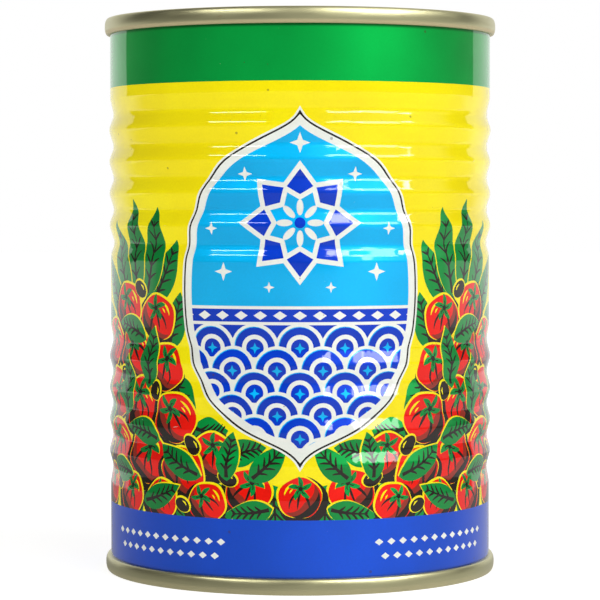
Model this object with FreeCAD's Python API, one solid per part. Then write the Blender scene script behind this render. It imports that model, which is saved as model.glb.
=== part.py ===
import FreeCAD
import Part

import math
import os

# A shut three-piece steel food can, in millimetres. +Z is up, and the origin is the centre of the
# circle that the can stands on. The printed wall has two groups of rolled beads between plain bands.
# Each end is a pressed tinplate disc whose rim is folded round the wall's edge as a double seam.
# The wall's solid is filled, since the can is shut and its contents can't be seen.

# Overall size
CAN_HEIGHT = 106.0  # over both double seams
WALL_RADIUS = 36.65  # outside of the plain bands
WALL_SHEET = 0.18
END_SHEET = 0.22

# Double seam, the same at both ends
SEAM_HEIGHT = 3.0
SEAM_STANDOUT = 1.05  # from the wall to the seam's widest place, at the crown
SEAM_TAPER = 0.22  # how much narrower the seam is at its foot
SEAM_CROWN_ROUND = 0.75
SEAM_INNER_ROUND = 0.4
SEAM_FOOT_ROUND = 0.25

# Plain bands of the wall, from the foot of one seam to the foot of the other
TOP_PLAIN = 12.4
MIDDLE_PLAIN = 12.8
BOTTOM_PLAIN = 14.15

# Rolled beads: two groups of grooves with crests between them. Depth and rise are those of the
# sharp corners, and the rounding takes about 0.1 off each.
GROOVES_PER_GROUP = 5
UPPER_GROOVE_DEPTH = 0.72
LOWER_GROOVE_DEPTH = 0.50
CREST_RISE = 0.31
UPPER_CREST_LIFT = 0.28  # how far a crest lies above the middle of its two grooves
LOWER_CREST_LIFT = 0.0
BEAD_ROUND = 2.4

# End panel, from the seam inwards
CHUCK_WALL_LEAN = 0.55  # how far the chuck wall leans inwards on its way down
COUNTERSINK_DEPTH = 4.3  # below the seam's crown
COUNTERSINK_WIDTH = 1.5  # across its floor
COUNTERSINK_ROUND = 0.55
PANEL_WALL_RUN = 0.35  # how far the panel's own wall leans inwards on its way up
PANEL_DEPTH = 2.6  # of the panel's outermost ring, below the seam's crown
STEP_COUNT = 3  # expansion rings, each a step down towards the centre
STEP_DROP = 0.4
STEP_RUN = 0.9
STEP_ROUND = 0.5
OUTER_RING_WIDTH = 4.4
RING_SPACING = 5.2

# Worked out from the sizes above
SEAM_RADIUS = WALL_RADIUS + SEAM_STANDOUT
SEAM_FOOT_RADIUS = SEAM_RADIUS - SEAM_TAPER
CHUCK_TOP_RADIUS = WALL_RADIUS - WALL_SHEET - END_SHEET
COUNTERSINK_OUTER = CHUCK_TOP_RADIUS - CHUCK_WALL_LEAN
COUNTERSINK_INNER = COUNTERSINK_OUTER - COUNTERSINK_WIDTH
PANEL_EDGE = COUNTERSINK_INNER - PANEL_WALL_RUN
BEADED_LENGTH = CAN_HEIGHT - 2 * SEAM_HEIGHT - TOP_PLAIN - MIDDLE_PLAIN - BOTTOM_PLAIN
BEAD_PITCH = BEADED_LENGTH / (2 * GROOVES_PER_GROUP)
SMALLEST_ROUND = 0.02


def end_face():
    """Corners (radius, depth below the crown, rounding) of an end's outer face, from the axis out
    to the top of the chuck wall."""
    corners = []
    depth = PANEL_DEPTH + STEP_COUNT * STEP_DROP
    corners.append((0.0, depth, 0.0))
    for ring in reversed(range(STEP_COUNT)):
        outside = PANEL_EDGE - OUTER_RING_WIDTH - ring * RING_SPACING
        corners.append((outside - STEP_RUN, depth, STEP_ROUND))
        depth -= STEP_DROP
        corners.append((outside, depth, STEP_ROUND))
    corners.append((PANEL_EDGE, PANEL_DEPTH, COUNTERSINK_ROUND))
    corners.append((COUNTERSINK_INNER, COUNTERSINK_DEPTH, COUNTERSINK_ROUND))
    corners.append((COUNTERSINK_OUTER, COUNTERSINK_DEPTH, COUNTERSINK_ROUND))
    corners.append((CHUCK_TOP_RADIUS, 0.0, SEAM_INNER_ROUND))
    return corners


def offset_corners(corners, distance):
    """The same path moved by distance to its right-hand side, which is the can's inside."""
    headings = []
    for a, b in zip(corners, corners[1:]):
        length = math.hypot(b[0] - a[0], b[1] - a[1])
        headings.append(((b[0] - a[0]) / length, (b[1] - a[1]) / length))
    moved = [(corners[0][0], corners[0][1] + distance, 0.0)]
    for corner, before, after in zip(corners[1:-1], headings, headings[1:]):
        side_before = (-before[1], before[0])
        side_after = (-after[1], after[0])
        along = side_before[0] * side_after[0] + side_before[1] * side_after[1]
        reach = distance / (1 + along)
        turn = before[0] * after[1] - before[1] * after[0]
        rounding = corner[2] - math.copysign(distance, turn)
        moved.append(
            (
                corner[0] + reach * (side_before[0] + side_after[0]),
                corner[1] + reach * (side_before[1] + side_after[1]),
                max(rounding, SMALLEST_ROUND),
            )
        )
    return moved


def end_underside():
    """Corners of an end's inner face, from the axis out to where the chuck wall meets the level of
    the seam's foot."""
    face = end_face()
    corners = offset_corners(face, END_SHEET)
    lean = (face[-1][0] - face[-2][0]) / (face[-2][1] - face[-1][1])
    foot = corners[-1]
    radius = foot[0] + lean * (foot[1] - SEAM_HEIGHT)
    corners.append((radius, SEAM_HEIGHT, 0.0))
    return corners


def end_outline():
    """The closed outline of one end: its outer face, the seam and the inner face back to the axis."""
    corners = end_face()
    corners.append((SEAM_RADIUS, 0.0, SEAM_CROWN_ROUND))
    corners.append((SEAM_FOOT_RADIUS, SEAM_HEIGHT, SEAM_FOOT_ROUND))
    corners.append((WALL_RADIUS, SEAM_HEIGHT, 0.0))
    corners.extend(reversed(end_underside()))
    return corners


def bead_group(lowest, groove_depth, crest_lift):
    """Corners (radius, height, rounding) of one group of beads, upwards from the height lowest."""
    corners = [(WALL_RADIUS, lowest, BEAD_ROUND)]
    for groove in range(GROOVES_PER_GROUP):
        middle = lowest + (groove + 0.5) * BEAD_PITCH
        corners.append((WALL_RADIUS - groove_depth, middle, BEAD_ROUND))
        if groove < GROOVES_PER_GROUP - 1:
            crest = middle + 0.5 * BEAD_PITCH + crest_lift
            corners.append((WALL_RADIUS + CREST_RISE, crest, BEAD_ROUND))
    corners.append((WALL_RADIUS, lowest + GROOVES_PER_GROUP * BEAD_PITCH, BEAD_ROUND))
    return corners


def body_outline():
    """The closed outline of the filled wall, from the lower end's inner face to the upper one's."""
    lower_beads = SEAM_HEIGHT + BOTTOM_PLAIN
    upper_beads = lower_beads + GROOVES_PER_GROUP * BEAD_PITCH + MIDDLE_PLAIN
    corners = end_underside()
    corners.append((WALL_RADIUS, SEAM_HEIGHT, 0.0))
    corners.extend(bead_group(lower_beads, LOWER_GROOVE_DEPTH, LOWER_CREST_LIFT))
    corners.extend(bead_group(upper_beads, UPPER_GROOVE_DEPTH, UPPER_CREST_LIFT))
    corners.append((WALL_RADIUS, CAN_HEIGHT - SEAM_HEIGHT, 0.0))
    corners.extend(reversed(from_the_top(end_underside())))
    return corners


def from_the_top(corners):
    """Turns depths below the upper seam's crown into heights."""
    return [(radius, CAN_HEIGHT - depth, rounding) for radius, depth, rounding in corners]


def tangent_arc(corner, before, after):
    """Start, middle and end of the arc that rounds a corner, no longer than its walls allow."""
    here = FreeCAD.Vector(corner[0], 0, corner[1])
    back = FreeCAD.Vector(before[0], 0, before[1]) - here
    ahead = FreeCAD.Vector(after[0], 0, after[1]) - here
    shortest = min(back.Length, ahead.Length)
    back.normalize()
    ahead.normalize()
    half = back.getAngle(ahead) / 2
    radius = min(corner[2], 0.49 * shortest * math.tan(half))
    start = here + back * (radius / math.tan(half))
    end = here + ahead * (radius / math.tan(half))
    middle = here + (back + ahead).normalize() * (radius / math.sin(half) - radius)
    return start, middle, end


def outline_face(corners):
    """A flat face in the XZ plane inside the closed outline, with its corners rounded."""
    edges = []
    pen = None
    first = None
    for index, corner in enumerate(corners):
        before = corners[index - 1]
        after = corners[(index + 1) % len(corners)]
        if corner[2] > 0:
            start, middle, end = tangent_arc(corner, before, after)
        else:
            start = end = FreeCAD.Vector(corner[0], 0, corner[1])
        if pen is None:
            first = start
        else:
            edges.append(Part.LineSegment(pen, start).toShape())
        if corner[2] > 0:
            edges.append(Part.Arc(start, middle, end).toShape())
        pen = end
    edges.append(Part.LineSegment(pen, first).toShape())
    return Part.Face(Part.Wire(edges))


def turned(corners):
    """The solid that the outline sweeps in one turn about the can's axis."""
    face = outline_face(corners)
    return face.revolve(FreeCAD.Vector(0, 0, 0), FreeCAD.Vector(0, 0, 1), 360)


def main():
    parts = {
        "can_body": turned(body_outline()),
        "top_end": turned(from_the_top(end_outline())),
        "bottom_end": turned(end_outline()),
    }
    os.makedirs("parts", exist_ok=True)
    for name, shape in parts.items():
        solid = shape.Solids[0]
        solid.exportStep(os.path.join("parts", name + ".step"))
        box = solid.BoundBox
        print(f"{name}: valid {solid.isValid()}, {solid.Volume:.1f} mm3, z {box.ZMin:.3f} to {box.ZMax:.3f}")
    print(f"bead pitch {BEAD_PITCH:.3f}")


main()
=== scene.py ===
import math

import bmesh
import bpy
import numpy as np
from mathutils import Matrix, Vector
from mathutils.bvhtree import BVHTree
from mathutils.geometry import delaunay_2d_cdt

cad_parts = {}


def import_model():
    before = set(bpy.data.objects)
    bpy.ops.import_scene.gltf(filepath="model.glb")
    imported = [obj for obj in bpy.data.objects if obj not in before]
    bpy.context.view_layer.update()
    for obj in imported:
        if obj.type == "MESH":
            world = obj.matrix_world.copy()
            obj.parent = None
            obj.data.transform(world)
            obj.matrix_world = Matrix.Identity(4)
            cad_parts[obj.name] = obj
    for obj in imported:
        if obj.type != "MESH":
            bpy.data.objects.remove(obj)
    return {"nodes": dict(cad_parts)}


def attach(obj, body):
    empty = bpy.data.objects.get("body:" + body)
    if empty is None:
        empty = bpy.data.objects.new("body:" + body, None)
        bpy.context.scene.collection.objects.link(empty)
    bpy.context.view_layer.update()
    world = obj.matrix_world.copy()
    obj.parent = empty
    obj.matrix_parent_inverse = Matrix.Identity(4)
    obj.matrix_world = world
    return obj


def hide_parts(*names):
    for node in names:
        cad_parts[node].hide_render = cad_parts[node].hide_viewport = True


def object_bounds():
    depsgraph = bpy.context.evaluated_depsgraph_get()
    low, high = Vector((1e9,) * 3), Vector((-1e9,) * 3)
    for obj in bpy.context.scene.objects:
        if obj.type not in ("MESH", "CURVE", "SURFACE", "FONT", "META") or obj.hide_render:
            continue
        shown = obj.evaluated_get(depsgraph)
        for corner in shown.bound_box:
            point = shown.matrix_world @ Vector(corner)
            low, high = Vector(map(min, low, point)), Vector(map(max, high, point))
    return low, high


# A shut food can with a printed, beaded wall and tinplate ends. The printed wall is one mesh: its
# artwork is drawn flat as outlines, cut into triangles and wrapped round the wall, so that each ink
# is a material of its own with a true edge. The two ends are turned from the CAD model's outline, with
# the outside of the seam worn softer.

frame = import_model()
cad_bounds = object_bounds()

# ---------------- sizes, in metres
MM = 0.001
CAN_BASE = cad_bounds[0][2]
CAN_TOP = cad_bounds[1][2]
CAN_MIDDLE = (CAN_BASE + CAN_TOP) / 2
SEAM_RADIUS = min(-cad_bounds[0][0], -cad_bounds[0][1], cad_bounds[1][0], cad_bounds[1][1])

# The wall's own sizes are those of the CAD model's source.
SEAM_HEIGHT = 3.0 * MM
WALL_RADIUS = 36.65 * MM
TOP_PLAIN = 12.4 * MM
MIDDLE_PLAIN = 12.8 * MM
BOTTOM_PLAIN = 14.15 * MM
GROOVES_PER_GROUP = 5
UPPER_GROOVE_DEPTH = 0.72 * MM
LOWER_GROOVE_DEPTH = 0.50 * MM
CREST_RISE = 0.31 * MM
UPPER_CREST_LIFT = 0.28 * MM
LOWER_CREST_LIFT = 0.0
BEAD_ROUND = 2.4 * MM
# The flank that ends the upper group is steeper in its middle than at its ends
STEEP_HALF = 0.52 * MM
STEEP_SLOPE = 0.354
FIT_TOLERANCE = 0.06 * MM  # how far the printed wall may lie from the CAD wall

WALL_LOW = CAN_BASE + SEAM_HEIGHT
WALL_HIGH = CAN_TOP - SEAM_HEIGHT
BEADED = WALL_HIGH - WALL_LOW - TOP_PLAIN - MIDDLE_PLAIN - BOTTOM_PLAIN
BEAD_PITCH = BEADED / (2 * GROOVES_PER_GROUP)

# The ends' sizes are the source's too.
WALL_SHEET = 0.18 * MM
END_SHEET = 0.22 * MM
SEAM_INNER_ROUND = 0.4 * MM
CHUCK_WALL_LEAN = 0.55 * MM
COUNTERSINK_DEPTH = 4.3 * MM
COUNTERSINK_WIDTH = 1.5 * MM
COUNTERSINK_ROUND = 0.55 * MM
PANEL_WALL_RUN = 0.35 * MM
PANEL_DEPTH = 2.6 * MM
STEP_COUNT = 3
STEP_DROP = 0.4 * MM
STEP_RUN = 0.9 * MM
STEP_ROUND = 0.5 * MM
OUTER_RING_WIDTH = 4.4 * MM
RING_SPACING = 5.2 * MM

# The seam's outside is worn softer than the CAD model's plain arcs.
CROWN_ROUND_ACROSS = 0.55 * MM
CROWN_ROUND_DOWN = 1.5 * MM
FOOT_ROUND_ACROSS = 0.5 * MM
FOOT_ROUND_UP = 1.4 * MM

END_SEGMENTS = 288
SHARP_EDGE = math.radians(40)
ROUND_STEPS = 8
ROUND_SHARE = 0.49  # of a side, which the rounding at its end may take up

# How finely the wall is divided
COLUMNS = 180
ARC_STEPS = 6
PLAIN_STEP = 2.2 * MM
LONGEST_EDGE = 1.1  # of an ink's edge, in millimetres, so that it follows the wall
SAME_POINT = 1e-4  # corners nearer than this, in millimetres, are one

# The closing of the wall's mesh, out of sight under each end
RIM_INNER = 36.0 * MM
CAP_RADIUS = 35.5 * MM
CAP_DEPTH = 1.65 * MM

# Unevenness of the rolled wall: shallow waves that fade out towards each seam
WAVE_HEIGHT = 0.007 * MM
WAVE_COUNT = 14
WAVE_TURNS = (2, 15)  # waves round the can, 15 left out
SHORTEST_WAVE = 18 * MM  # up the can
WAVE_FADE = 2 * MM

# ---------------- the flat print, in millimetres
# x runs round the wall, 0 at the front and growing to the right. y is the height above the floor.
GIRTH = 2 * math.pi * WALL_RADIUS / MM
WELD_AT = GIRTH / 4
LEFT_EDGE = WELD_AT - GIRTH
PRINT_LOW = WALL_LOW / MM
PRINT_HIGH = WALL_HIGH / MM
BARE_STRIP = 2.4  # from the weld to the print's edge
BLUE_TOP = 13.55
GREEN_FOOT = 92.7
PANEL_CENTRES = (0.0, -GIRTH / 2)

MEDALLION_HEIGHT = 55.3  # of its middle
MEDALLION_HALF_WIDTH = 22.2
MEDALLION_HALF_HEIGHT = 31.6
HALO = 0.7  # how far the white reaches past the rim
KEY_LINE = 0.34
RIM_WIDTH = 1.35
HORIZON = 49.0  # the foot of the lozenge band, where the scales begin
ROSETTE_HEIGHT = 67.2
ROSETTE_RADIUS = 11.2
TOP_STAR_HEIGHT = 81.6
SMALL_STARS = ((14.2, 58.4, 1.7), (16.6, 66.2, 1.2), (10.2, 76.0, 1.35), (5.6, 55.6, 1.0))  # x, y, size
MIDDLE_TOMATO = (0.0, 17.6, 3.9, 1.5)  # as in TOMATOES
LOZENGE_ROWS = ((9.3, 12), (6.7, 11))  # height and count of each row on the blue band
LOZENGES_AT = 28.5  # the middle of those rows, to each side of the panel's middle

# The bake's map: the foot of its front and back halves, their height, and the margin at the sides
MAP_FRONT = 0.505
MAP_BACK = 0.01
MAP_TALL = 0.47
MAP_MARGIN = 0.01


# ---------------- outlines
def circle(x, y, radius, count, squash=1.0):
    """A circle of count corners. squash is its height by its width."""
    turn = np.linspace(0, 2 * math.pi, count, endpoint=False)
    return np.column_stack([x + radius * np.cos(turn), y + squash * radius * np.sin(turn)])


def box(left, low, right, high):
    return np.array([(left, low), (right, low), (right, high), (left, high)], float)


def star(x, y, outer, inner, points, start=math.pi / 2):
    """A star whose first point lies at the angle start."""
    turn = start + np.arange(2 * points) * math.pi / points
    reach = np.where(np.arange(2 * points) % 2 == 0, outer, inner)
    return np.column_stack([x + reach * np.cos(turn), y + reach * np.sin(turn)])


def bezier(a, b, c, d, count):
    """Points of a cubic curve, without its last one."""
    t = np.linspace(0, 1, count, endpoint=False)[:, None]
    a, b, c, d = (np.array(p, float) for p in (a, b, c, d))
    return (1 - t) ** 3 * a + 3 * t * (1 - t) ** 2 * b + 3 * t * t * (1 - t) * c + t**3 * d


def unit(vectors):
    """The rows of vectors, each made 1 long."""
    return vectors / np.linalg.norm(vectors, axis=1, keepdims=True)


def spin(turn):
    """What a point is multiplied by to turn it anticlockwise about 0, 0."""
    return np.array([(math.cos(turn), math.sin(turn)), (-math.sin(turn), math.cos(turn))])


def normals_of(outline):
    """Outward normals at the corners of a closed outline that runs anticlockwise."""
    along = unit(np.roll(outline, -1, axis=0) - np.roll(outline, 1, axis=0))
    return np.column_stack([along[:, 1], -along[:, 0]])


def anticlockwise(outline):
    """The outline, turned round if it runs clockwise."""
    x, y = outline.T
    area = np.sum(x * np.roll(y, -1) - y * np.roll(x, -1))
    return outline if area > 0 else outline[::-1]


def grown(outline, distance):
    """The outline moved outwards by distance."""
    outline = anticlockwise(outline)
    return outline + distance * normals_of(outline)


def stroke(points, widths):
    """A brush stroke: a band along points, as wide as widths says at each."""
    points = np.array(points, float)
    along = unit(np.gradient(points, axis=0))
    side = np.column_stack([-along[:, 1], along[:, 0]]) * np.array(widths)[:, None] / 2
    return np.concatenate([points - side, (points + side)[::-1]])


def curved_stroke(a, middle, b, width, count, blunt=0.25):
    """A stroke of count points from a to b that bends towards middle and tapers to blunt times its
    width."""
    t = np.linspace(0, 1, count)[:, None]
    a, middle, b = (np.array(p, float) for p in (a, middle, b))
    points = (1 - t) ** 2 * a + 2 * t * (1 - t) * middle + t * t * b
    fullness = blunt + (1 - blunt) * np.sin(math.pi * np.linspace(0.12, 0.95, count))
    return stroke(points, width * fullness)


class Sheet:
    """The flat print: outlines in the order in which they are laid on, each with its ink."""

    def __init__(self):
        self.outlines = []
        self.inks = []
        self.masks = []

    def lay(self, outline, ink, mask=None):
        """Lays an outline on the sheet, cut off by the mask, which is an outline laid before."""
        self.outlines.append(np.asarray(outline, float))
        self.inks.append(ink)
        self.masks.append(mask)
        return len(self.outlines) - 1


class Placed:
    """The sheet seen from one panel's middle, mirrored left to right where side is -1."""

    def __init__(self, sheet, centre, side, mask):
        self.sheet = sheet
        self.centre = centre
        self.side = side
        self.mask = mask

    def lay(self, outline, ink, mask=None):
        moved = np.asarray(outline, float) * (self.side, 1) + (self.centre, 0)
        return self.sheet.lay(moved, ink, self.mask if mask is None else mask)


# ---------------- the medallion
def ogee(half_width, half_height, margin=0.0):
    """A tall medallion, round at its sides and drawn out to a point at its top and foot, and
    grown by a margin, which may be negative."""
    size = np.array([half_width, half_height])
    shoulder = (0.62, 0.73)
    upper = bezier(*(size * p for p in ((0, 1), (0.07, 0.90), (0.36, 0.87), shoulder)), 14)
    lower = bezier(*(size * p for p in (shoulder, (0.88, 0.59), (1, 0.30), (1, 0))), 16)
    quarter = np.concatenate([upper, lower])
    along = unit(np.gradient(quarter, axis=0))
    quarter = quarter + margin * np.column_stack([-along[:, 1], along[:, 0]])
    quarter = quarter[quarter[:, 0] > 0.02]
    near, far = quarter[:2]
    tip = (0, near[1] + near[0] * (near[1] - far[1]) / (far[0] - near[0]))
    side = (half_width + margin, 0)
    right = np.concatenate([[tip], quarter, [side], (quarter * (1, -1))[::-1]])
    left = -right
    return anticlockwise(np.concatenate([right, left]))


def rosette(place, x, y, radius, mask):
    """The eight-pointed star of tile work: four stars in each other, and petals."""
    upright = math.pi / 2
    turned = upright + math.pi / 8
    stars = (  # outer and inner reach, start and ink
        (1.00, 0.70, upright, "white"),
        (0.87, 0.61, upright, "royal"),
        (0.66, 0.46, turned, "white"),
        (0.53, 0.37, turned, "sky"),
    )
    for outer, inner, start, ink in stars:
        place.lay(star(x, y, outer * radius, inner * radius, 8, start), ink, mask)
    petal = circle(0, 0, 1, 16) * (0.13 * radius, 0.055 * radius) + (0.25 * radius, 0)
    for step in range(8):
        place.lay(petal @ spin(step * math.pi / 4) + (x, y), "white", mask)
    place.lay(circle(x, y, 0.09 * radius, 16), "royal", mask)


def scallops(place, mask):
    """Rows of overlapping scales under the horizon, each of rings in blue and white."""
    radius = 4.5
    pitch = 8.3
    drop = 4.1
    rows = 6
    for row in range(rows):
        y = HORIZON - 4.4 - row * drop
        for step in range(-3, 4):
            x = (step + 0.5 * (row % 2)) * pitch
            place.lay(circle(x, y, radius, 30), "white", mask)
            place.lay(circle(x - 0.12, y + 0.1, 0.85 * radius, 28), "sky", mask)
            place.lay(circle(x, y, 0.84 * radius, 28), "royal", mask)
            place.lay(circle(x, y, 0.55 * radius, 24), "white", mask)
            place.lay(circle(x, y, 0.37 * radius, 20), "royal", mask)
            place.lay(star(x, y, 0.22 * radius, 0.09 * radius, 4), "sky", mask)


def lozenges(place, y, pitch, count, half_width, half_height, mask=None, start=0.0):
    """A row of white lozenges whose middle lies at start."""
    for step in range(count):
        x = start + (step - (count - 1) / 2) * pitch
        place.lay(circle(x, y, half_width, 4, half_height / half_width), "white", mask)


def medallion(place):
    """From its halo inwards: rim, sky, scales, lozenges, rosette and stars."""

    def shape(margin):
        return ogee(MEDALLION_HALF_WIDTH, MEDALLION_HALF_HEIGHT, margin) + (0, MEDALLION_HEIGHT)

    place.lay(shape(HALO), "white")
    place.lay(shape(KEY_LINE), "black")
    place.lay(shape(0), "white")
    field = place.lay(shape(-RIM_WIDTH), "sky")
    wide = MEDALLION_HALF_WIDTH
    place.lay(box(-wide, 0, wide, HORIZON), "royal", field)
    scallops(place, field)
    place.lay(box(-wide, HORIZON - 0.2, wide, HORIZON + 3.2), "white", field)
    place.lay(box(-wide, HORIZON + 0.35, wide, HORIZON + 2.65), "royal", field)
    lozenges(place, HORIZON + 1.5, 3.6, 13, 1.25, 0.8, field)
    rosette(place, 0, ROSETTE_HEIGHT, ROSETTE_RADIUS, field)
    for x, y, size in SMALL_STARS:
        for side in (1, -1):
            place.lay(star(side * x, y, size, 0.36 * size, 4), "white", field)
    place.lay(star(0, TOP_STAR_HEIGHT, 1.9, 0.7, 4), "white", field)


# ---------------- the garland
def leaf(place, base, tip, width, bend):
    """A pointed leaf with a black midrib and side veins, bent sideways by bend."""
    base = np.array(base, float)
    tip = np.array(tip, float)
    run = tip - base
    length = np.linalg.norm(run)
    side = np.array([-run[1], run[0]]) / length
    middle = (base + tip) / 2 + bend * side
    t = np.linspace(0, 1, 15)[:, None]
    rib = (1 - t) ** 2 * base + 2 * t * (1 - t) * middle + t * t * tip
    fullness = np.sin(math.pi * np.linspace(0, 1, 15) ** 0.8) ** 0.85
    body = stroke(rib, np.maximum(width * fullness, 0.12))
    place.lay(body + (-0.28, 0.22), "yellow")
    place.lay(body, "leaf")
    place.lay(stroke(rib[1:13], np.linspace(0.75, 0.2, 12)), "black")
    for step in (3, 5, 7, 9, 11):
        here = rib[step]
        ahead = rib[step + 1] - rib[step]
        ahead /= np.linalg.norm(ahead)
        across = np.array([-ahead[1], ahead[0]])
        reach = 0.40 * width * fullness[step]
        for hand in (-1, 1):
            end = here + reach * (0.85 * ahead + 0.8 * hand * across)
            bow = here + reach * (0.55 * ahead + 0.30 * hand * across)
            place.lay(curved_stroke(here, bow, end, 0.42, 6), "black")


def crescent(x, y, radius, start, stop, thick):
    """A sickle inside a circle, from the angle start to stop, thick at its middle."""
    turn = np.linspace(start, stop, 18)
    inner = radius - thick * np.sin(math.pi * np.linspace(0, 1, 18)) - 0.02
    outside = np.column_stack([x + radius * np.cos(turn), y + radius * np.sin(turn)])
    inside = np.column_stack([x + inner * np.cos(turn), y + inner * np.sin(turn)])
    return np.concatenate([outside, inside[::-1]])


def calyx(place, x, y, radius, turn):
    """Five curled sepals and a stem."""
    for sepal in range(5):
        angle = turn + (sepal - 2) * 2 * math.pi / 5
        ahead = np.array([math.cos(angle), math.sin(angle)])
        across = np.array([-ahead[1], ahead[0]])
        middle = np.array([x, y])
        tip = middle + radius * (ahead + 0.25 * across)
        bow = middle + 0.6 * radius * (ahead - 0.12 * across)
        place.lay(curved_stroke(middle, bow, tip, 0.42 * radius, 8, 0.12), "leaf")
        place.lay(curved_stroke(middle, bow, (middle + tip) / 2, 0.09 * radius, 5), "black")
    place.lay(circle(x, y, 0.20 * radius, 12), "black")


def tomato(place, x, y, radius, turn):
    """A ripe tomato: red, shaded in brown and black below right, with yellow lights above left."""
    angle = np.linspace(0, 2 * math.pi, 40, endpoint=False)
    reach = radius * (1 + 0.028 * np.cos(5 * (angle - turn)) + 0.012 * np.cos(2 * angle))
    body = np.column_stack([x + reach * np.cos(angle), y + 0.95 * reach * np.sin(angle)])
    place.lay(grown(body, 0.75) + (0.45, -0.55), "black")
    place.lay(grown(body, 0.24) + (-0.16, 0.18), "yellow")
    place.lay(body, "red")
    place.lay(crescent(x, y, 0.93 * radius, -2.35, 0.75, 0.62 * radius), "brown")
    place.lay(crescent(x, y, 0.94 * radius, -2.0, 0.35, 0.34 * radius), "black")
    ahead = np.array([math.cos(turn), math.sin(turn)])
    across = np.array([-ahead[1], ahead[0]])
    top = np.array([x, y]) + 0.42 * radius * ahead
    for bow, end, width in ((-0.55, -0.9, 0.13), (0.1, 0.15, 0.11), (0.62, 0.85, 0.10)):
        foot = top + radius * (0.55 * end * across - 0.95 * ahead)
        belly = top + radius * (0.85 * bow * across - 0.5 * ahead)
        place.lay(curved_stroke(top, belly, foot, width * radius, 9, 0.1), "black")
    for start, stop, depth, width in ((2.05, 2.95, 0.74, 0.105), (2.25, 2.7, 0.53, 0.07)):
        arc = np.linspace(start, stop, 9)
        line = np.column_stack([np.cos(arc), np.sin(arc)]) * depth * radius + (x, y)
        place.lay(stroke(line, width * radius * np.sin(np.linspace(0.25, 2.9, 9))), "yellow")
    calyx(place, top[0], top[1], 0.55 * radius, turn)


def olive(place, x, y, length, turn):
    """A black olive with one yellow light."""
    body = circle(0, 0, length / 2, 24, 0.70) @ spin(turn) + (x, y)
    place.lay(grown(body, 0.25) + (-0.12, 0.14), "yellow")
    place.lay(body, "black")
    light = np.array([(-0.24, 0.12), (-0.08, 0.2), (0.1, 0.2)]) * length
    place.lay(stroke(light @ spin(turn) + (x, y), np.array([0.04, 0.1, 0.03]) * length), "yellow")


LEAVES = (  # base, tip, width, bend
    ((31.0, 52), (24.6, 64.0), 5.8, 1.4),
    ((32.5, 53), (29.8, 70.0), 6.2, 1.2),
    ((35.0, 53), (37.2, 71.5), 6.4, -1.2),
    ((38.0, 52), (45.0, 67.5), 6.2, -1.4),
    ((41.0, 50), (51.5, 61.0), 6.0, -1.4),
    ((45.0, 45), (55.5, 51.5), 5.8, 1.2),
    ((27.0, 44), (23.4, 54.5), 5.4, 1.2),
    ((26.0, 39), (20.8, 30.5), 5.8, -1.2),
    ((20.5, 30), (13.2, 29.6), 5.4, 1.2),
    ((14.0, 24), (6.2, 26.6), 5.0, -1.0),
    ((48.0, 37), (56.0, 43.5), 5.4, -1.0),
    ((50.0, 30), (56.5, 35.0), 5.0, 1.0),
    ((49.0, 22), (56.5, 20.0), 5.6, 1.0),
    ((46.0, 20), (51.5, 11.5), 6.2, 1.2),
    ((36.5, 22), (35.0, 10.5), 6.6, 1.2),
    ((26.0, 21), (25.0, 10.0), 6.4, -1.2),
    ((15.5, 20), (14.0, 10.0), 6.4, 1.2),
    ((5.5, 20), (4.6, 10.0), 6.0, -1.0),
)
TOMATOES = (  # x, y, radius, the direction of its stalk
    (54.2, 27.2, 3.9, 2.2),
    (29.4, 49.6, 4.5, 1.4),
    (39.2, 51.4, 4.8, 1.1),
    (46.6, 44.6, 4.7, 1.9),
    (36.6, 43.0, 5.2, 0.8),
    (27.6, 40.6, 4.6, 2.1),
    (45.2, 34.8, 5.2, 2.6),
    (34.6, 33.4, 5.4, 1.7),
    (25.0, 31.4, 4.9, 0.9),
    (43.8, 25.2, 5.4, 1.1),
    (32.8, 23.8, 5.3, 2.0),
    (16.6, 25.0, 4.3, 1.6),
    (23.2, 21.6, 4.8, 1.2),
    (9.6, 18.6, 4.3, 2.0),
    (17.8, 16.2, 3.8, 0.9),
    (28.4, 16.2, 3.9, 1.3),
    (38.2, 16.4, 4.2, 1.9),
    (48.6, 17.4, 4.2, 1.5),
)
FRONT_LEAVES = (
    ((33.0, 45.5), (42.6, 48.4), 5.0, 1.3),
    ((32.0, 36.5), (30.0, 48.0), 5.0, -1.2),
    ((40.6, 31.0), (39.2, 42.6), 5.2, 1.1),
    ((29.0, 27.0), (38.6, 29.2), 5.0, 1.2),
    ((48.4, 28.0), (51.2, 38.4), 5.2, -1.2),
    ((19.0, 21.0), (28.4, 26.4), 5.0, -1.0),
    ((38.0, 20.0), (47.4, 20.8), 5.0, 1.0),
    ((5.0, 15.6), (13.8, 14.6), 4.4, -0.8),
    ((33.4, 15.6), (24.0, 19.0), 4.6, 0.8),
    ((9.4, 20.6), (2.6, 27.4), 4.8, 0.9),
    ((13.8, 20.4), (12.2, 29.4), 4.4, -0.8),
)
OLIVES = (  # x, y, length, turn
    (34.4, 54.8, 4.0, 0.6),
    (52.2, 44.4, 4.2, -0.5),
    (21.0, 26.6, 4.0, 0.9),
    (41.4, 38.8, 3.8, -0.4),
    (29.8, 36.2, 3.6, 1.2),
    (13.6, 20.8, 3.8, 0.4),
    (43.6, 18.6, 3.6, 1.1),
    (49.6, 24.0, 3.8, -0.7),
    (23.0, 15.6, 3.4, 0.5),
)


def garland(place):
    """One side of a panel's garland: leaves behind, fruit, then a few leaves in front."""
    for base, tip, width, bend in LEAVES:
        leaf(place, base, tip, width, bend)
    for x, y, radius, turn in TOMATOES:
        tomato(place, x, y, radius, turn)
    for x, y, length, turn in OLIVES:
        olive(place, x, y, length, turn)
    for base, tip, width, bend in FRONT_LEAVES:
        leaf(place, base, tip, width, bend)


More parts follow.
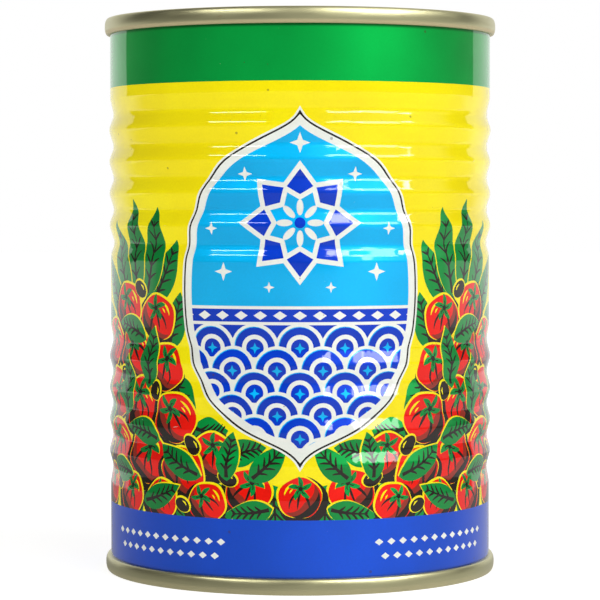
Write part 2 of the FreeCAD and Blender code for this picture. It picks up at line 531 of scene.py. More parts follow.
def flat_print():
    """The whole sheet, as printed before it is rolled into a wall."""
    sheet = Sheet()
    left = LEFT_EDGE + BARE_STRIP
    right = WELD_AT - BARE_STRIP
    sheet.lay(box(LEFT_EDGE, PRINT_LOW, WELD_AT, PRINT_HIGH), "tin")
    band = sheet.lay(box(left, PRINT_LOW, right, BLUE_TOP), "blue")
    field = sheet.lay(box(left, BLUE_TOP, right, GREEN_FOOT), "yellow")
    sheet.lay(box(left, GREEN_FOOT, right, PRINT_HIGH), "green")
    for centre in PANEL_CENTRES:
        for side in (-1, 1):
            garland(Placed(sheet, centre, side, field))
        tomato(Placed(sheet, centre, 1, field), *MIDDLE_TOMATO)
        medallion(Placed(sheet, centre, 1, field))
        for side in (-1, 1):
            place = Placed(sheet, centre, side, band)
            for y, count in LOZENGE_ROWS:
                lozenges(place, y, 2.5, count, 0.85, 0.62, start=LOZENGES_AT)
    return sheet


# ---------------- the wall's outline
def bead_group(lowest, groove_depth, crest_lift):
    """Corners (radius, height, rounding) of one group of beads, upwards from the height lowest."""
    corners = [(WALL_RADIUS, lowest, BEAD_ROUND)]
    for groove in range(GROOVES_PER_GROUP):
        middle = lowest + (groove + 0.5) * BEAD_PITCH
        corners.append((WALL_RADIUS - groove_depth, middle, BEAD_ROUND))
        if groove < GROOVES_PER_GROUP - 1:
            crest = middle + 0.5 * BEAD_PITCH + crest_lift
            corners.append((WALL_RADIUS + CREST_RISE, crest, BEAD_ROUND))
    corners.append((WALL_RADIUS, lowest + GROOVES_PER_GROUP * BEAD_PITCH, BEAD_ROUND))
    return corners


def wall_corners():
    """Corners (radius, height, rounding) of the wall, from one seam to the other."""
    lower = WALL_LOW + BOTTOM_PLAIN
    upper = lower + GROOVES_PER_GROUP * BEAD_PITCH + MIDDLE_PLAIN
    corners = [(WALL_RADIUS, WALL_LOW, 0.0)]
    corners += bead_group(lower, LOWER_GROOVE_DEPTH, LOWER_CREST_LIFT)
    foot, *rest = bead_group(upper, UPPER_GROOVE_DEPTH, UPPER_CREST_LIFT)
    half_way = ((foot[0] + rest[0][0]) / 2, (foot[1] + rest[0][1]) / 2)
    corners.append(foot)
    for hand in (-1, 1):
        radius = half_way[0] - hand * STEEP_HALF * STEEP_SLOPE
        corners.append((radius, half_way[1] + hand * STEEP_HALF, BEAD_ROUND))
    corners += rest
    corners.append((WALL_RADIUS, WALL_HIGH, 0.0))
    return corners


def rounded(corners, count, share):
    """A path through corners (x, y, rounding), each rounded by an arc of count points that takes up no
    more than that share of a side. Gives the points, and the path's lean from y towards x at each."""
    points = [corners[0][:2]]
    leans = [0.0]
    for before, here, after in zip(corners, corners[1:], corners[2:]):
        lean_in = math.atan2(here[0] - before[0], here[1] - before[1])
        lean_out = math.atan2(after[0] - here[0], after[1] - here[1])
        bend = math.tan(abs(lean_out - lean_in) / 2)
        shortest = min(math.dist(before[:2], here[:2]), math.dist(here[:2], after[:2]))
        radius = min(here[2], share * shortest / bend)
        trim = radius * bend
        arm = math.copysign(radius, lean_out - lean_in)
        x = here[0] - trim * math.sin(lean_in) + arm * math.cos(lean_in)
        y = here[1] - trim * math.cos(lean_in) - arm * math.sin(lean_in)
        for lean in np.linspace(lean_in, lean_out, count):
            points.append((x - arm * math.cos(lean), y + arm * math.sin(lean)))
            leans.append(lean)
    points.append(corners[-1][:2])
    leans.append(0.0)
    return points, leans


def wall_outline():
    """Heights, radii and slopes (radius by height) of the wall."""
    points, leans = rounded(wall_corners(), ARC_STEPS, 1.0)
    radii, heights = np.array(points).T
    return heights, radii, np.array([math.tan(lean) for lean in leans])


def check_fit(heights, radii):
    """Stops the script if the printed wall would not lie on the CAD wall."""
    mesh = frame["nodes"]["can_body"].data
    points = np.array([v.co for v in mesh.vertices])
    reach = np.hypot(points[:, 0], points[:, 1])
    inside = (points[:, 2] > WALL_LOW + MM) & (points[:, 2] < WALL_HIGH - MM) & (reach > RIM_INNER)
    gap = np.abs(reach[inside] - np.interp(points[inside, 2], heights, radii)).max()
    if gap > FIT_TOLERANCE:
        raise ValueError(f"the printed wall lies {gap / MM:.3f} mm from the CAD wall")


def waves():
    """For each wave: waves round the can, radians for each metre upwards, phase and height."""
    rng = np.random.default_rng(4)
    around = rng.integers(*WAVE_TURNS, WAVE_COUNT)
    upwards = rng.uniform(-1, 1, WAVE_COUNT) * 2 * math.pi / SHORTEST_WAVE
    phase = rng.uniform(0, 2 * math.pi, WAVE_COUNT)
    height = WAVE_HEIGHT * rng.uniform(0.4, 1.0, WAVE_COUNT)
    return list(zip(around, upwards, phase, height))


# ---------------- the wall's mesh
def linked(name, data):
    """A new object in the scene."""
    made = bpy.data.objects.new(name, data)
    bpy.context.scene.collection.objects.link(made)
    return made


def rows(heights):
    """Heights of the mesh's rows: every point of the outline, and steps between those far apart."""
    found = [heights[0]]
    for low, high in zip(heights, heights[1:]):
        parts = max(1, round((high - low) / PLAIN_STEP))
        found.extend(np.linspace(low, high, parts + 1)[1:])
    return np.array(found)


def inked_triangles(sheet):
    """Cuts the flat sheet along every outline. Gives corners, triangles and each triangle's ink."""
    points = []
    faces = []
    for outline in sheet.outlines:
        first = len(points)
        points.extend(Vector(p) for p in anticlockwise(outline))
        faces.append(list(range(first, len(points))))
    corners, _, triangles, _, _, owners = delaunay_2d_cdt(points, [], faces, 1, SAME_POINT, True)
    kept = []
    inks = []
    for triangle, owner in zip(triangles, owners):
        over = set(owner)
        if 0 in over:
            top = max(o for o in over if sheet.masks[o] is None or sheet.masks[o] in over)
            kept.append(triangle)
            inks.append(sheet.inks[top])
    return np.array([tuple(p) for p in corners]), np.array(kept), np.array(inks)


def ink_edges(triangles, inks):
    """The edges that have one ink on one side and another ink on the other."""
    number = np.unique(inks, return_inverse=True)[1]
    edges = np.sort(np.concatenate([triangles[:, [0, 1]], triangles[:, [1, 2]], triangles[:, [2, 0]]]))
    edges, which = np.unique(edges, axis=0, return_inverse=True)
    which = which.ravel()
    lowest = np.full(len(edges), 99)
    highest = np.full(len(edges), -1)
    np.minimum.at(lowest, which, np.tile(number, 3))
    np.maximum.at(highest, which, np.tile(number, 3))
    return edges[lowest != highest]


def cut_sheet(sheet, heights):
    """Triangles of the flat sheet: corners, triples of corners and the ink of each triangle. They
    follow the visible edges of the inks and the rows and columns that the wall's shape needs."""
    corners, triangles, inks = inked_triangles(sheet)
    upward = rows(heights) / MM
    across = LEFT_EDGE + np.arange(COLUMNS + 1) * GIRTH / COLUMNS
    points = [Vector((x, y)) for y in upward for x in across]
    edges = []
    place = {}
    for a, b in ink_edges(triangles, inks):
        for i in (a, b):
            if i not in place:
                place[i] = len(points)
                points.append(Vector(corners[i]))
        parts = math.ceil(math.dist(corners[a], corners[b]) / LONGEST_EDGE)
        chain = [place[a]]
        for step in range(1, parts):
            chain.append(len(points))
            points.append(Vector(corners[a]).lerp(Vector(corners[b]), step / parts))
        chain.append(place[b])
        edges.extend(zip(chain, chain[1:]))
    cut, _, pieces, *_ = delaunay_2d_cdt(points, edges, [], 0, SAME_POINT, False)
    cut = np.array([tuple(p) for p in cut])
    pieces = np.array(pieces)
    lookup = BVHTree.FromPolygons([(x, y, 0) for x, y in corners], triangles.tolist())
    middles = cut[pieces].mean(axis=1)
    found = [lookup.find_nearest((x, y, 0))[2] for x, y in middles]
    return cut, pieces, inks[found]


def wrap(flat, heights, radii, slopes):
    """Places and normals on the wall of points of the flat sheet."""
    turn = flat[:, 0] * MM / WALL_RADIUS
    height = flat[:, 1] * MM
    reach = np.interp(height, heights, radii)
    by_height = np.interp(height, heights, slopes)
    by_turn = np.zeros_like(turn)
    fade = np.clip(np.minimum(height - WALL_LOW, WALL_HIGH - height) / WAVE_FADE, 0, 1)
    for around, upwards, phase, size in waves():
        wave = around * turn + upwards * height + phase
        reach = reach + fade * size * np.sin(wave)
        by_height = by_height + fade * size * upwards * np.cos(wave)
        by_turn = by_turn + fade * size * around * np.cos(wave)
    outward = np.column_stack([np.sin(turn), -np.cos(turn), np.zeros_like(turn)])
    sideways = np.column_stack([np.cos(turn), np.sin(turn), np.zeros_like(turn)])
    places = outward * reach[:, None]
    places[:, 2] = height
    normals = outward - sideways * (by_turn / reach)[:, None]
    normals[:, 2] = -by_height
    return places, unit(normals)


def printed_wall(materials):
    heights, radii, slopes = wall_outline()
    check_fit(heights, radii)
    flat, triangles, inks = cut_sheet(flat_print(), heights)
    used, triangles = np.unique(triangles, return_inverse=True)
    triangles = triangles.reshape(-1, 3)
    flat = flat[used]
    places, normals = wrap(flat, heights, radii, slopes)
    mesh = wall_mesh(flat, triangles, inks, places, normals, materials)
    shade_by_own_normals(mesh)
    print("printed wall:", len(mesh.polygons), "faces")
    return linked("printed_wall", mesh)


def wall_mesh(flat, triangles, inks, places, normals, materials):
    """The closed mesh of the wall, with an ink for each face and the bake's map."""
    mesh = bpy.data.meshes.new("printed_wall")
    names = sorted(set(inks))
    for name in names:
        mesh.materials.append(materials[name])
    build = bmesh.new()
    normal_of = build.verts.layers.float_vector.new("wall_normal")
    lay_flat = build.loops.layers.uv.new("OFBake")
    corners = [build.verts.new(p) for p in places]
    for corner, normal in zip(corners, normals):
        corner[normal_of] = normal
    for triangle, ink in zip(triangles, inks):
        face = build.faces.new([corners[i] for i in triangle])
        face.material_index = names.index(ink)
        face.smooth = True
        middle = flat[triangle, 0].mean()
        for loop, i in zip(face.loops, triangle):
            loop[lay_flat].uv = flat_to_map(flat[i], middle)
    bmesh.ops.remove_doubles(build, verts=build.verts, dist=1e-7)
    close_wall(build, names.index("tin"))
    build.to_mesh(mesh)
    build.free()
    return mesh


def shade_by_own_normals(mesh):
    """Shades the wall by its true normals. The closing's corners have none, and take +Z."""
    own = np.empty(len(mesh.vertices) * 3, np.float32)
    mesh.attributes["wall_normal"].data.foreach_get("vector", own)
    own = own.reshape(-1, 3)
    own[np.linalg.norm(own, axis=1) < 0.5] = (0, 0, 1)
    mesh.normals_split_custom_set([own[loop.vertex_index] for loop in mesh.loops])
    mesh.attributes.remove(mesh.attributes["wall_normal"])


def flat_to_map(point, middle):
    """The place of a point of the flat sheet in the bake's map: the back half below the front half."""
    front = middle > WELD_AT - GIRTH / 2
    start = WELD_AT - GIRTH / 2 if front else LEFT_EDGE
    across = (point[0] - start) / (GIRTH / 2)
    upward = (point[1] - PRINT_LOW) / (PRINT_HIGH - PRINT_LOW)
    foot = MAP_FRONT if front else MAP_BACK
    return MAP_MARGIN + (1 - 2 * MAP_MARGIN) * across, foot + MAP_TALL * upward


def close_wall(build, slot):
    """Turns the open wall into a closed solid, with a rim and a cap under each end."""
    for level, inwards in ((WALL_LOW, 1), (WALL_HIGH, -1)):
        edge = [e for e in build.edges if e.is_boundary and abs(e.verts[0].co.z - level) < 0.1 * MM]
        for radius, drop in ((RIM_INNER, 0.0), (CAP_RADIUS, CAP_DEPTH)):
            made = bmesh.ops.extrude_edge_only(build, edges=edge)["geom"]
            for item in made:
                if isinstance(item, bmesh.types.BMVert):
                    item.co *= Vector((1, 1, 0)) * radius / math.hypot(item.co.x, item.co.y)
                    item.co.z = level + inwards * drop
                if isinstance(item, bmesh.types.BMFace):
                    item.material_index = slot
            edge = [item for item in made if isinstance(item, bmesh.types.BMEdge) and item.is_boundary]
        bmesh.ops.contextual_create(build, geom=edge, mat_nr=slot)
    bmesh.ops.recalc_face_normals(build, faces=build.faces)


# ---------------- materials
BUMP = 3e-6  # the height of the surfaces' relief, in metres


class Graph:
    """Adds nodes to a material's or the world's tree and links them."""

    def __init__(self, owner):
        owner.use_nodes = True
        self.tree = owner.node_tree
        self.tree.nodes.clear()

    def add(self, kind, inputs=None, **settings):
        node = self.tree.nodes.new(kind)
        for key, value in settings.items():
            setattr(node, key, value)
        for key, value in (inputs or {}).items():
            self.put(node.inputs[key], value)
        return node

    def put(self, socket, value):
        if isinstance(value, bpy.types.NodeSocket):
            self.tree.links.new(value, socket)
        else:
            socket.default_value = value

    def math(self, operation, a, b=None, clamp=False):
        node = self.add("ShaderNodeMath", operation=operation, use_clamp=clamp)
        for socket, value in zip(node.inputs, (a, b)):
            if value is not None:
                self.put(socket, value)
        return node.outputs[0]

    def ramp(self, value, low, high, to_low=0.0, to_high=1.0):
        """value from low to high becomes to_low to to_high, smoothly, and stays there outside."""
        node = self.add(
            "ShaderNodeMapRange",
            {"Value": value, "From Min": low, "From Max": high, "To Min": to_low, "To Max": to_high},
            interpolation_type="SMOOTHSTEP",
        )
        return node.outputs["Result"]

    def mix(self, factor, a, b):
        values = {"Factor": factor, "A": a, "B": b}
        return self.add("ShaderNodeMix", values, data_type="RGBA").outputs["Result"]

    def noise(self, vector, scale, detail=2.0, roughness=0.5):
        values = {"Vector": vector, "Scale": scale, "Detail": detail, "Roughness": roughness}
        return self.add("ShaderNodeTexNoise", values).outputs["Fac"]

    def stretched(self, vector, scale):
        return self.add("ShaderNodeMapping", {"Vector": vector, "Scale": scale}).outputs[0]

    def object_place(self):
        return self.add("ShaderNodeTexCoord").outputs["Object"]

    def xyz(self, vector):
        return self.add("ShaderNodeSeparateXYZ", {"Vector": vector}).outputs

    def surface(self, values):
        shader = self.add("ShaderNodeBsdfPrincipled", values)
        self.add("ShaderNodeOutputMaterial", {"Surface": shader.outputs[0]})


def linear(red, green, blue):
    """An opaque colour from its 8-bit sRGB values."""

    def one(value):
        value /= 255
        return value / 12.92 if value <= 0.04045 else ((value + 0.055) / 1.055) ** 2.4

    return one(red), one(green), one(blue), 1.0


def scaled(colour, amount):
    return tuple(min(1.0, c * amount) for c in colour[:3]) + (1.0,)


def painted_seam_shade(graph, place):
    """Painted shade: strong in the crevice beside each seam, and 0 elsewhere."""
    height = graph.xyz(place)["Z"]
    upper = graph.ramp(height, WALL_HIGH - 0.75 * MM, WALL_HIGH - 0.2 * MM, 0, 0.75)
    lower = graph.ramp(height, WALL_LOW + 0.1 * MM, WALL_LOW + 0.4 * MM, 0.5, 0)
    return graph.math("MAXIMUM", upper, lower)


def ink(name, colour, seed, metal):
    """Gloss-lacquered printing ink on tinplate. metal is how much of the bright tin shows through, and
    seed shifts the marks."""
    material = bpy.data.materials.new(name)
    graph = Graph(material)
    shift = {"Vector": graph.object_place(), "Location": (seed, 0, 0)}
    place = graph.add("ShaderNodeMapping", shift).outputs[0]

    # faint clouds, and the grain of the print
    cloud = graph.noise(place, 55, 3)
    grain = graph.noise(place, 2600, 1)
    tone = graph.mix(graph.ramp(cloud, 0.3, 0.7), scaled(colour, 0.93), scaled(colour, 1.05))
    tone = graph.mix(graph.ramp(grain, 0.3, 0.7, 0, 0.12), tone, scaled(colour, 0.72))

    # dark specks, in a few of many small cells
    cells = graph.add("ShaderNodeTexVoronoi", {"Vector": place, "Scale": 700.0})
    rare = graph.add("ShaderNodeSeparateColor", {"Color": cells.outputs["Color"]})
    size = graph.ramp(rare.outputs["Green"], 0, 1, 0.05, 0.20)
    near = graph.math("LESS_THAN", cells.outputs["Distance"], size)
    speck = graph.math("MULTIPLY", near, graph.math("GREATER_THAN", rare.outputs["Red"], 0.965))
    tone = graph.mix(graph.math("MULTIPLY", speck, 0.5), tone, linear(70, 52, 34))

    # bright chips, which come in patches
    scuffed = graph.noise(graph.stretched(place, (1, 1, 2.6)), 420, 3, 0.6)
    patch = graph.noise(place, 30, 1)
    chip = graph.math("MULTIPLY", graph.ramp(scuffed, 0.735, 0.75), graph.ramp(patch, 0.52, 0.60))
    chip = graph.math("MULTIPLY", chip, 0.5)
    tone = graph.mix(chip, tone, linear(214, 214, 200))
    # painted shade: the ink darkened in the crevice beside each seam
    tone = graph.mix(painted_seam_shade(graph, place), tone, scaled(colour, 0.25))

    # the lacquer's own unevenness
    peel = graph.noise(place, 700, 2)
    rough = graph.ramp(graph.noise(place, 90, 3), 0.3, 0.7, 0.46, 0.56)
    height = graph.math("SUBTRACT", graph.math("MULTIPLY", peel, 0.5), graph.math("MULTIPLY", chip, 2.0))
    bump = graph.add("ShaderNodeBump", {"Strength": 0.25, "Distance": BUMP, "Height": height})
    graph.surface(
        {
            "Base Color": tone,
            "Metallic": metal,
            "Roughness": rough,
            "Specular IOR Level": 0.0,
            "Coat Weight": 1.0,
            "Coat Roughness": 0.04,
            "Coat IOR": 1.5,
            "Normal": bump.outputs[0],
            "Coat Normal": bump.outputs[0],
        }
    )
    return material


def pooled_lacquer_and_painted_reflection(graph, place):
    """Pooled lacquer and a painted reflection of the floor: 1 along the lower edge of the upper seam,
    where the lacquer has run together and dulled, less along that of the lower seam, and 0 elsewhere."""
    x, y, height = graph.xyz(place)
    level = graph.add("ShaderNodeCombineXYZ", {"X": x, "Y": y}).outputs[0]
    radius = graph.add("ShaderNodeVectorMath", {0: level}, operation="LENGTH").outputs["Value"]
    outside = graph.ramp(radius, WALL_RADIUS - 0.2 * MM, WALL_RADIUS)
    above = graph.math("GREATER_THAN", height, WALL_HIGH - 0.1 * MM)
    fade = graph.ramp(height, WALL_HIGH + 0.35 * MM, WALL_HIGH + 0.85 * MM, 1, 0)
    upper = graph.math("MULTIPLY", above, fade)
    lower = graph.ramp(height, CAN_BASE + 0.6 * MM, CAN_BASE + 1.5 * MM, 0.4, 0)
    return graph.math("MULTIPLY", outside, graph.math("MAXIMUM", upper, lower))


def tinplate(name, colour, weld=False):
    """Bright tinplate under a thin warm lacquer, with rolling marks and stains. The ends have pooled
    lacquer as well, with a painted reflection of the floor in it, and the wall's bare strip has the dark
    line of its weld."""
    material = bpy.data.materials.new(name)
    graph = Graph(material)
    place = graph.object_place()
    cloud = graph.noise(place, 45, 3)
    streak = graph.noise(graph.stretched(place, (1, 1, 12)), 200, 3)
    tone = graph.mix(graph.ramp(cloud, 0.3, 0.7), scaled(colour, 0.93), scaled(colour, 1.04))
    tone = graph.mix(graph.ramp(streak, 0.35, 0.75, 0, 0.3), tone, scaled(colour, 0.84))
    stain = graph.noise(graph.stretched(place, (1, 1, 3)), 300, 4, 0.6)
    tone = graph.mix(graph.ramp(stain, 0.66, 0.76, 0, 0.45), tone, linear(168, 120, 76))
    rough = graph.ramp(graph.noise(graph.stretched(place, (1, 1, 5)), 120, 3), 0.3, 0.75, 0.34, 0.42)
    if weld:
        across = graph.math("ABSOLUTE", graph.xyz(place)["Y"])
        near = graph.ramp(across, 0.35 * MM, 0.8 * MM, 1, 0)
        tone = graph.mix(graph.math("MULTIPLY", near, 0.7), tone, linear(92, 84, 78))
        rough = graph.math("ADD", rough, graph.math("MULTIPLY", near, 0.2))
        metal = 1.0
    else:
        # pooled lacquer, duller and less metallic, with a painted reflection of the floor: a lighter,
        # warmer tone on the seams' lower edges
        pool_and_reflection = pooled_lacquer_and_painted_reflection(graph, place)
        tone = graph.mix(graph.math("MULTIPLY", pool_and_reflection, 0.8), tone, linear(186, 170, 128))
        rough = graph.math("ADD", rough, graph.math("MULTIPLY", pool_and_reflection, 0.12))
        metal = graph.math("SUBTRACT", 1.0, graph.math("MULTIPLY", pool_and_reflection, 0.75))
    grain = graph.noise(graph.stretched(place, (1, 1, 7)), 1900, 3)
    bump = graph.add("ShaderNodeBump", {"Strength": 0.3, "Distance": BUMP, "Height": grain})
    graph.surface({"Base Color": tone, "Metallic": metal, "Roughness": rough, "Normal": bump.outputs[0]})
    return material


TIN = linear(199, 195, 152)
INKS = {  # the colour, and how much bright metal shows through it
    "yellow": ((255, 234, 8), 0.0),
    "green": ((0, 176, 71), 0.75),
    "leaf": ((0, 156, 66), 0.6),
    "blue": ((6, 84, 222), 0.55),
    "royal": ((2, 62, 206), 0.45),
    "sky": ((0, 190, 255), 0.4),
    "red": ((244, 24, 10), 0.15),
    "brown": ((150, 48, 34), 0.1),
    "black": ((38, 32, 27), 0.0),
    "white": ((238, 241, 232), 0.0),
}


def wall_materials():
    made = {}
    for seed, (name, (colour, metal)) in enumerate(INKS.items()):
        made[name] = ink(f"ink_{name}", linear(*colour), seed, metal)
    made["tin"] = tinplate("bare_tin", TIN, weld=True)
    return made


# ---------------- the ends
def end_profile():
    """The end's outline as (radius, depth below the crown), from its middle over the seam and
    back under its sheet."""
    chuck_top = WALL_RADIUS - WALL_SHEET - END_SHEET
    outer = chuck_top - CHUCK_WALL_LEAN
    inner = outer - COUNTERSINK_WIDTH
    panel_edge = inner - PANEL_WALL_RUN
    depth = PANEL_DEPTH + STEP_COUNT * STEP_DROP
    face = [(0.0, depth, 0.0)]
    for ring in reversed(range(STEP_COUNT)):
        outside = panel_edge - OUTER_RING_WIDTH - ring * RING_SPACING
        face.append((outside - STEP_RUN, depth, STEP_ROUND))
        depth -= STEP_DROP
        face.append((outside, depth, STEP_ROUND))
    face += [
        (panel_edge, PANEL_DEPTH, COUNTERSINK_ROUND),
        (inner, COUNTERSINK_DEPTH, COUNTERSINK_ROUND),
        (outer, COUNTERSINK_DEPTH, COUNTERSINK_ROUND),
        (chuck_top, 0.0, SEAM_INNER_ROUND),
        (SEAM_RADIUS - CROWN_ROUND_ACROSS, 0.0, 0.0),
    ]
    points, _ = rounded(face, ROUND_STEPS, ROUND_SHARE)
    under = [(radius, drop + END_SHEET) for radius, drop in points if radius < outer - COUNTERSINK_ROUND]
    quarter = np.linspace(0, math.pi / 2, 14)[1:]
    crown = (SEAM_RADIUS - CROWN_ROUND_ACROSS, CROWN_ROUND_DOWN)
    for turn in quarter:
        across = CROWN_ROUND_ACROSS * math.sin(turn)
        points.append((crown[0] + across, crown[1] - CROWN_ROUND_DOWN * math.cos(turn)))
    foot = (SEAM_RADIUS - FOOT_ROUND_ACROSS, SEAM_HEIGHT - FOOT_ROUND_UP)
    for turn in quarter[:-1]:
        across = FOOT_ROUND_ACROSS * math.cos(turn)
        points.append((foot[0] + across, foot[1] + FOOT_ROUND_UP * math.sin(turn)))
    points += [(foot[0], SEAM_HEIGHT), (WALL_RADIUS, SEAM_HEIGHT), (outer, COUNTERSINK_DEPTH + END_SHEET)]
    return points + under[::-1]


def turned_end(name, crown, inwards, material):
    """One end as a turned solid. crown is the height of its rim, and inwards is -1 at the top."""
    profile = end_profile()
    turns = np.arange(END_SEGMENTS) * 2 * math.pi / END_SEGMENTS
    mesh = bpy.data.meshes.new(name)
    build = bmesh.new()
    rings = []
    for radius, depth in profile:
        height = crown + inwards * depth
        if radius < 1e-9:
            rings.append([build.verts.new((0, 0, height))] * END_SEGMENTS)
        else:
            ring = [(radius * math.cos(t), radius * math.sin(t), height) for t in turns]
            rings.append([build.verts.new(place) for place in ring])
    for one, other in zip(rings, rings[1:]):
        for i in range(END_SEGMENTS):
            j = (i + 1) % END_SEGMENTS
            corners = list(dict.fromkeys((one[i], one[j], other[j], other[i])))
            face = build.faces.new(corners)
            face.smooth = True
    bmesh.ops.recalc_face_normals(build, faces=build.faces)
    for edge in build.edges:
        edge.smooth = edge.calc_face_angle(0.0) < SHARP_EDGE
    build.to_mesh(mesh)
    build.free()
    mesh.materials.append(material)
    return linked(name, mesh)


def ends():
    material = tinplate("lacquered_tin", TIN)
    for node, crown, inwards in (("top_end", CAN_TOP, -1), ("bottom_end", CAN_BASE, 1)):
        end = turned_end(f"turned_{node}", crown, inwards, material)
        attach(end, "root")
        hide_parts(node)


# ---------------- studio
FLOOR_HALF = 3.0
# How brightly the floor glows beside the can, where white is 1. Further off it is white.
FLOOR_GLOW_LEFT = 0.80  # on the paint
FLOOR_GLOW_RIGHT = 0.89
FLOOR_SHOWN = 0.8  # to the camera, and the lamps add to it
FLOOR_GLOSS_LEFT = 0.36  # in gloss, in front of the can
FLOOR_GLOSS_RIGHT = 0.57

# The room that gloss mirrors, where white is 1
ROOM_LEFT = 0.08
ROOM_RIGHT = 0.14
WINDOW = 0.70  # high on the right
BACKDROP_HALF_ANGLE = math.radians(52.5)  # of the white backdrop behind the can

# How brightly the room lights the paint
FILL_LEFT = 0.12
FILL_RIGHT = 0.30

LIGHT_DISTANCE = 1.3
LAMPS = (  # name, left, right, low and high in degrees, radiance, and True if it lights the paint
    ("left_fill", -50, -14, 32, 46, 5.4, True),
    ("right_fill", 20, 78, 32, 46, 5.1, True),
    ("left_softbox", -56.5, -24, 28, 33.5, 16.0),
    ("right_softbox", 38, 61.5, 20.5, 34, 7.6),
    ("right_softbox_middle", 20, 38, 26, 33.5, 10.0),
    ("right_softbox_low", 32, 38, 19.5, 26, 9.0),
    ("right_softbox_edge", 38, 61.5, 17.0, 20.5, 8.0),
    ("right_softbox_head", 19.5, 31, 35, 39.5, 14.0),
    ("right_softbox_foot", 15.5, 19.5, 22.5, 27, 12.0),
    ("side_strip", 67, 75, 26.5, 33.8, 16.0),
)

CAMERA_DISTANCE = 0.492  # from the can's axis
CAMERA_HEIGHT = 0.071
CAMERA_PITCH = 2.22  # degrees downwards
CAMERA_LENS = 152.2


def floor():
    """White wherever the camera looks, but for the can's shadow. It throws white light up at the
    can, and in gloss it is dimmer in front of the can than behind it."""
    mesh = bpy.data.meshes.new("floor")
    square = ((-1, -1), (1, -1), (1, 1), (-1, 1))
    corners = [(x * FLOOR_HALF, y * FLOOR_HALF, CAN_BASE) for x, y in square]
    mesh.from_pydata(corners, [], [(0, 1, 2, 3)])
    material = bpy.data.materials.new("studio_floor")
    graph = Graph(material)
    path = graph.add("ShaderNodeLightPath").outputs
    place = graph.object_place()
    away = graph.add("ShaderNodeVectorMath", {0: place}, operation="LENGTH").outputs["Value"]
    right, backward, _ = graph.xyz(place)
    bearing = graph.math("DIVIDE", right, away)

    matt = graph.add("ShaderNodeBsdfDiffuse", {"Color": (0.5, 0.5, 0.5, 1)})
    near = graph.ramp(bearing, -0.8, 0.8, FLOOR_GLOW_LEFT, FLOOR_GLOW_RIGHT)
    glow = graph.ramp(away, 0.05, 0.6, near, 1.0)
    shown = graph.ramp(away, 0.05, 0.4, FLOOR_SHOWN, 1.0)
    glow = graph.mix(path["Is Camera Ray"], glow, shown)
    glow = graph.add("ShaderNodeEmission", {"Strength": glow})
    lit = graph.add("ShaderNodeAddShader", {0: matt.outputs[0], 1: glow.outputs[0]})

    front = graph.ramp(bearing, -0.6, 0.4, FLOOR_GLOSS_LEFT, FLOOR_GLOSS_RIGHT)
    bright = graph.math("MAXIMUM", front, graph.ramp(backward, 0.0, 0.3))
    mirrored = graph.add("ShaderNodeEmission", {"Strength": bright})
    shaders = {"Fac": path["Is Glossy Ray"], 1: lit.outputs[0], 2: mirrored.outputs[0]}
    either = graph.add("ShaderNodeMixShader", shaders)
    graph.add("ShaderNodeOutputMaterial", {"Surface": either.outputs[0]})
    mesh.materials.append(material)
    linked("floor", mesh)


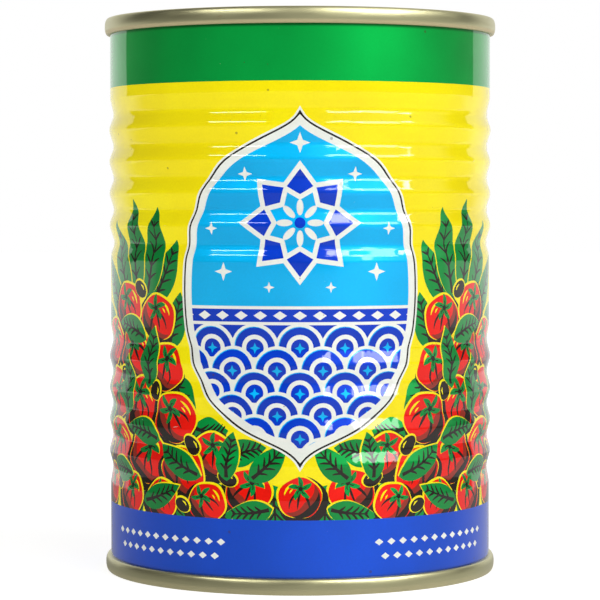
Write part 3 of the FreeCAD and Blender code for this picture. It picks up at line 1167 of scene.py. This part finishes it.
def world():
    """White where the camera looks. What lacquer and metal mirror is the white backdrop behind the
    can, and a dark room that is paler on the right, with a window there."""
    made = bpy.data.worlds.new("studio")
    bpy.context.scene.world = made
    graph = Graph(made)
    path = graph.add("ShaderNodeLightPath").outputs
    x, y, z = graph.xyz(graph.add("ShaderNodeTexCoord").outputs["Generated"])
    level = graph.math("SQRT", graph.math("SUBTRACT", 1.0, graph.math("MULTIPLY", z, z)))
    behind = graph.math("DIVIDE", y, graph.math("MAXIMUM", level, 0.001))
    edge = math.cos(BACKDROP_HALF_ANGLE)
    backdrop = graph.ramp(behind, edge - 0.01, edge + 0.01)
    window = graph.ramp(behind, 0.1, 0.4, WINDOW, ROOM_LEFT)
    right = graph.ramp(z, 0.05, 0.3, ROOM_RIGHT, window)
    room = graph.ramp(x, -0.3, 0.85, ROOM_LEFT, right)
    mirrored = graph.math("MAXIMUM", room, backdrop)
    fill = graph.ramp(x, -1.0, 1.0, FILL_LEFT, FILL_RIGHT)

    change = graph.math("SUBTRACT", mirrored, fill)
    in_gloss = graph.math("MULTIPLY", path["Is Glossy Ray"], change)
    strength = graph.math("ADD", fill, in_gloss)
    seen = graph.math("ADD", path["Is Camera Ray"], path["Is Transmission Ray"], clamp=True)
    to_white = graph.math("MULTIPLY", seen, graph.math("SUBTRACT", 1.0, strength))
    strength = graph.math("ADD", strength, to_white)
    background = graph.add("ShaderNodeBackground", {"Color": (1, 1, 1, 1), "Strength": strength})
    graph.add("ShaderNodeOutputWorld", {"Surface": background.outputs[0]})


def softbox(name, left, right, low, high, radiance, soft=False):
    """An area lamp between these azimuths and elevations as the can sees them. Azimuth 0 is straight
    in front. A soft one only lights the paint, and the others only show in the gloss."""
    wide = LIGHT_DISTANCE * 2 * math.tan(math.radians(right - left) / 2)
    tall = LIGHT_DISTANCE * 2 * math.tan(math.radians(high - low) / 2)
    light = bpy.data.lights.new(name, "AREA")
    light.shape = "RECTANGLE"
    light.size = wide
    light.size_y = tall
    light.energy = radiance * math.pi * wide * tall
    lamp = linked(name, light)
    turn = math.radians(left + right) / 2
    rise = math.radians(low + high) / 2
    away = Vector((math.sin(turn) * math.cos(rise), -math.cos(turn) * math.cos(rise), math.sin(rise)))
    lamp.location = Vector((0, 0, CAN_MIDDLE)) + LIGHT_DISTANCE * away
    lamp.rotation_euler = away.to_track_quat("Z", "Y").to_euler()
    lamp.visible_camera = False
    lamp.visible_diffuse = soft
    lamp.visible_glossy = not soft


def camera():
    lens = bpy.data.cameras.new("camera")
    lens.lens = CAMERA_LENS
    lens.sensor_width = 36.0
    made = linked("camera", lens)
    made.location = (0, -CAMERA_DISTANCE, CAN_BASE + CAMERA_HEIGHT)
    made.rotation_euler = (math.radians(90 - CAMERA_PITCH), 0, 0)
    bpy.context.scene.camera = made


camera()
world()
floor()
for lamp in LAMPS:
    softbox(*lamp)
bpy.context.scene.view_settings.view_transform = "Standard"

wall = printed_wall(wall_materials())
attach(wall, "root")
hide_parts("can_body")
ends()
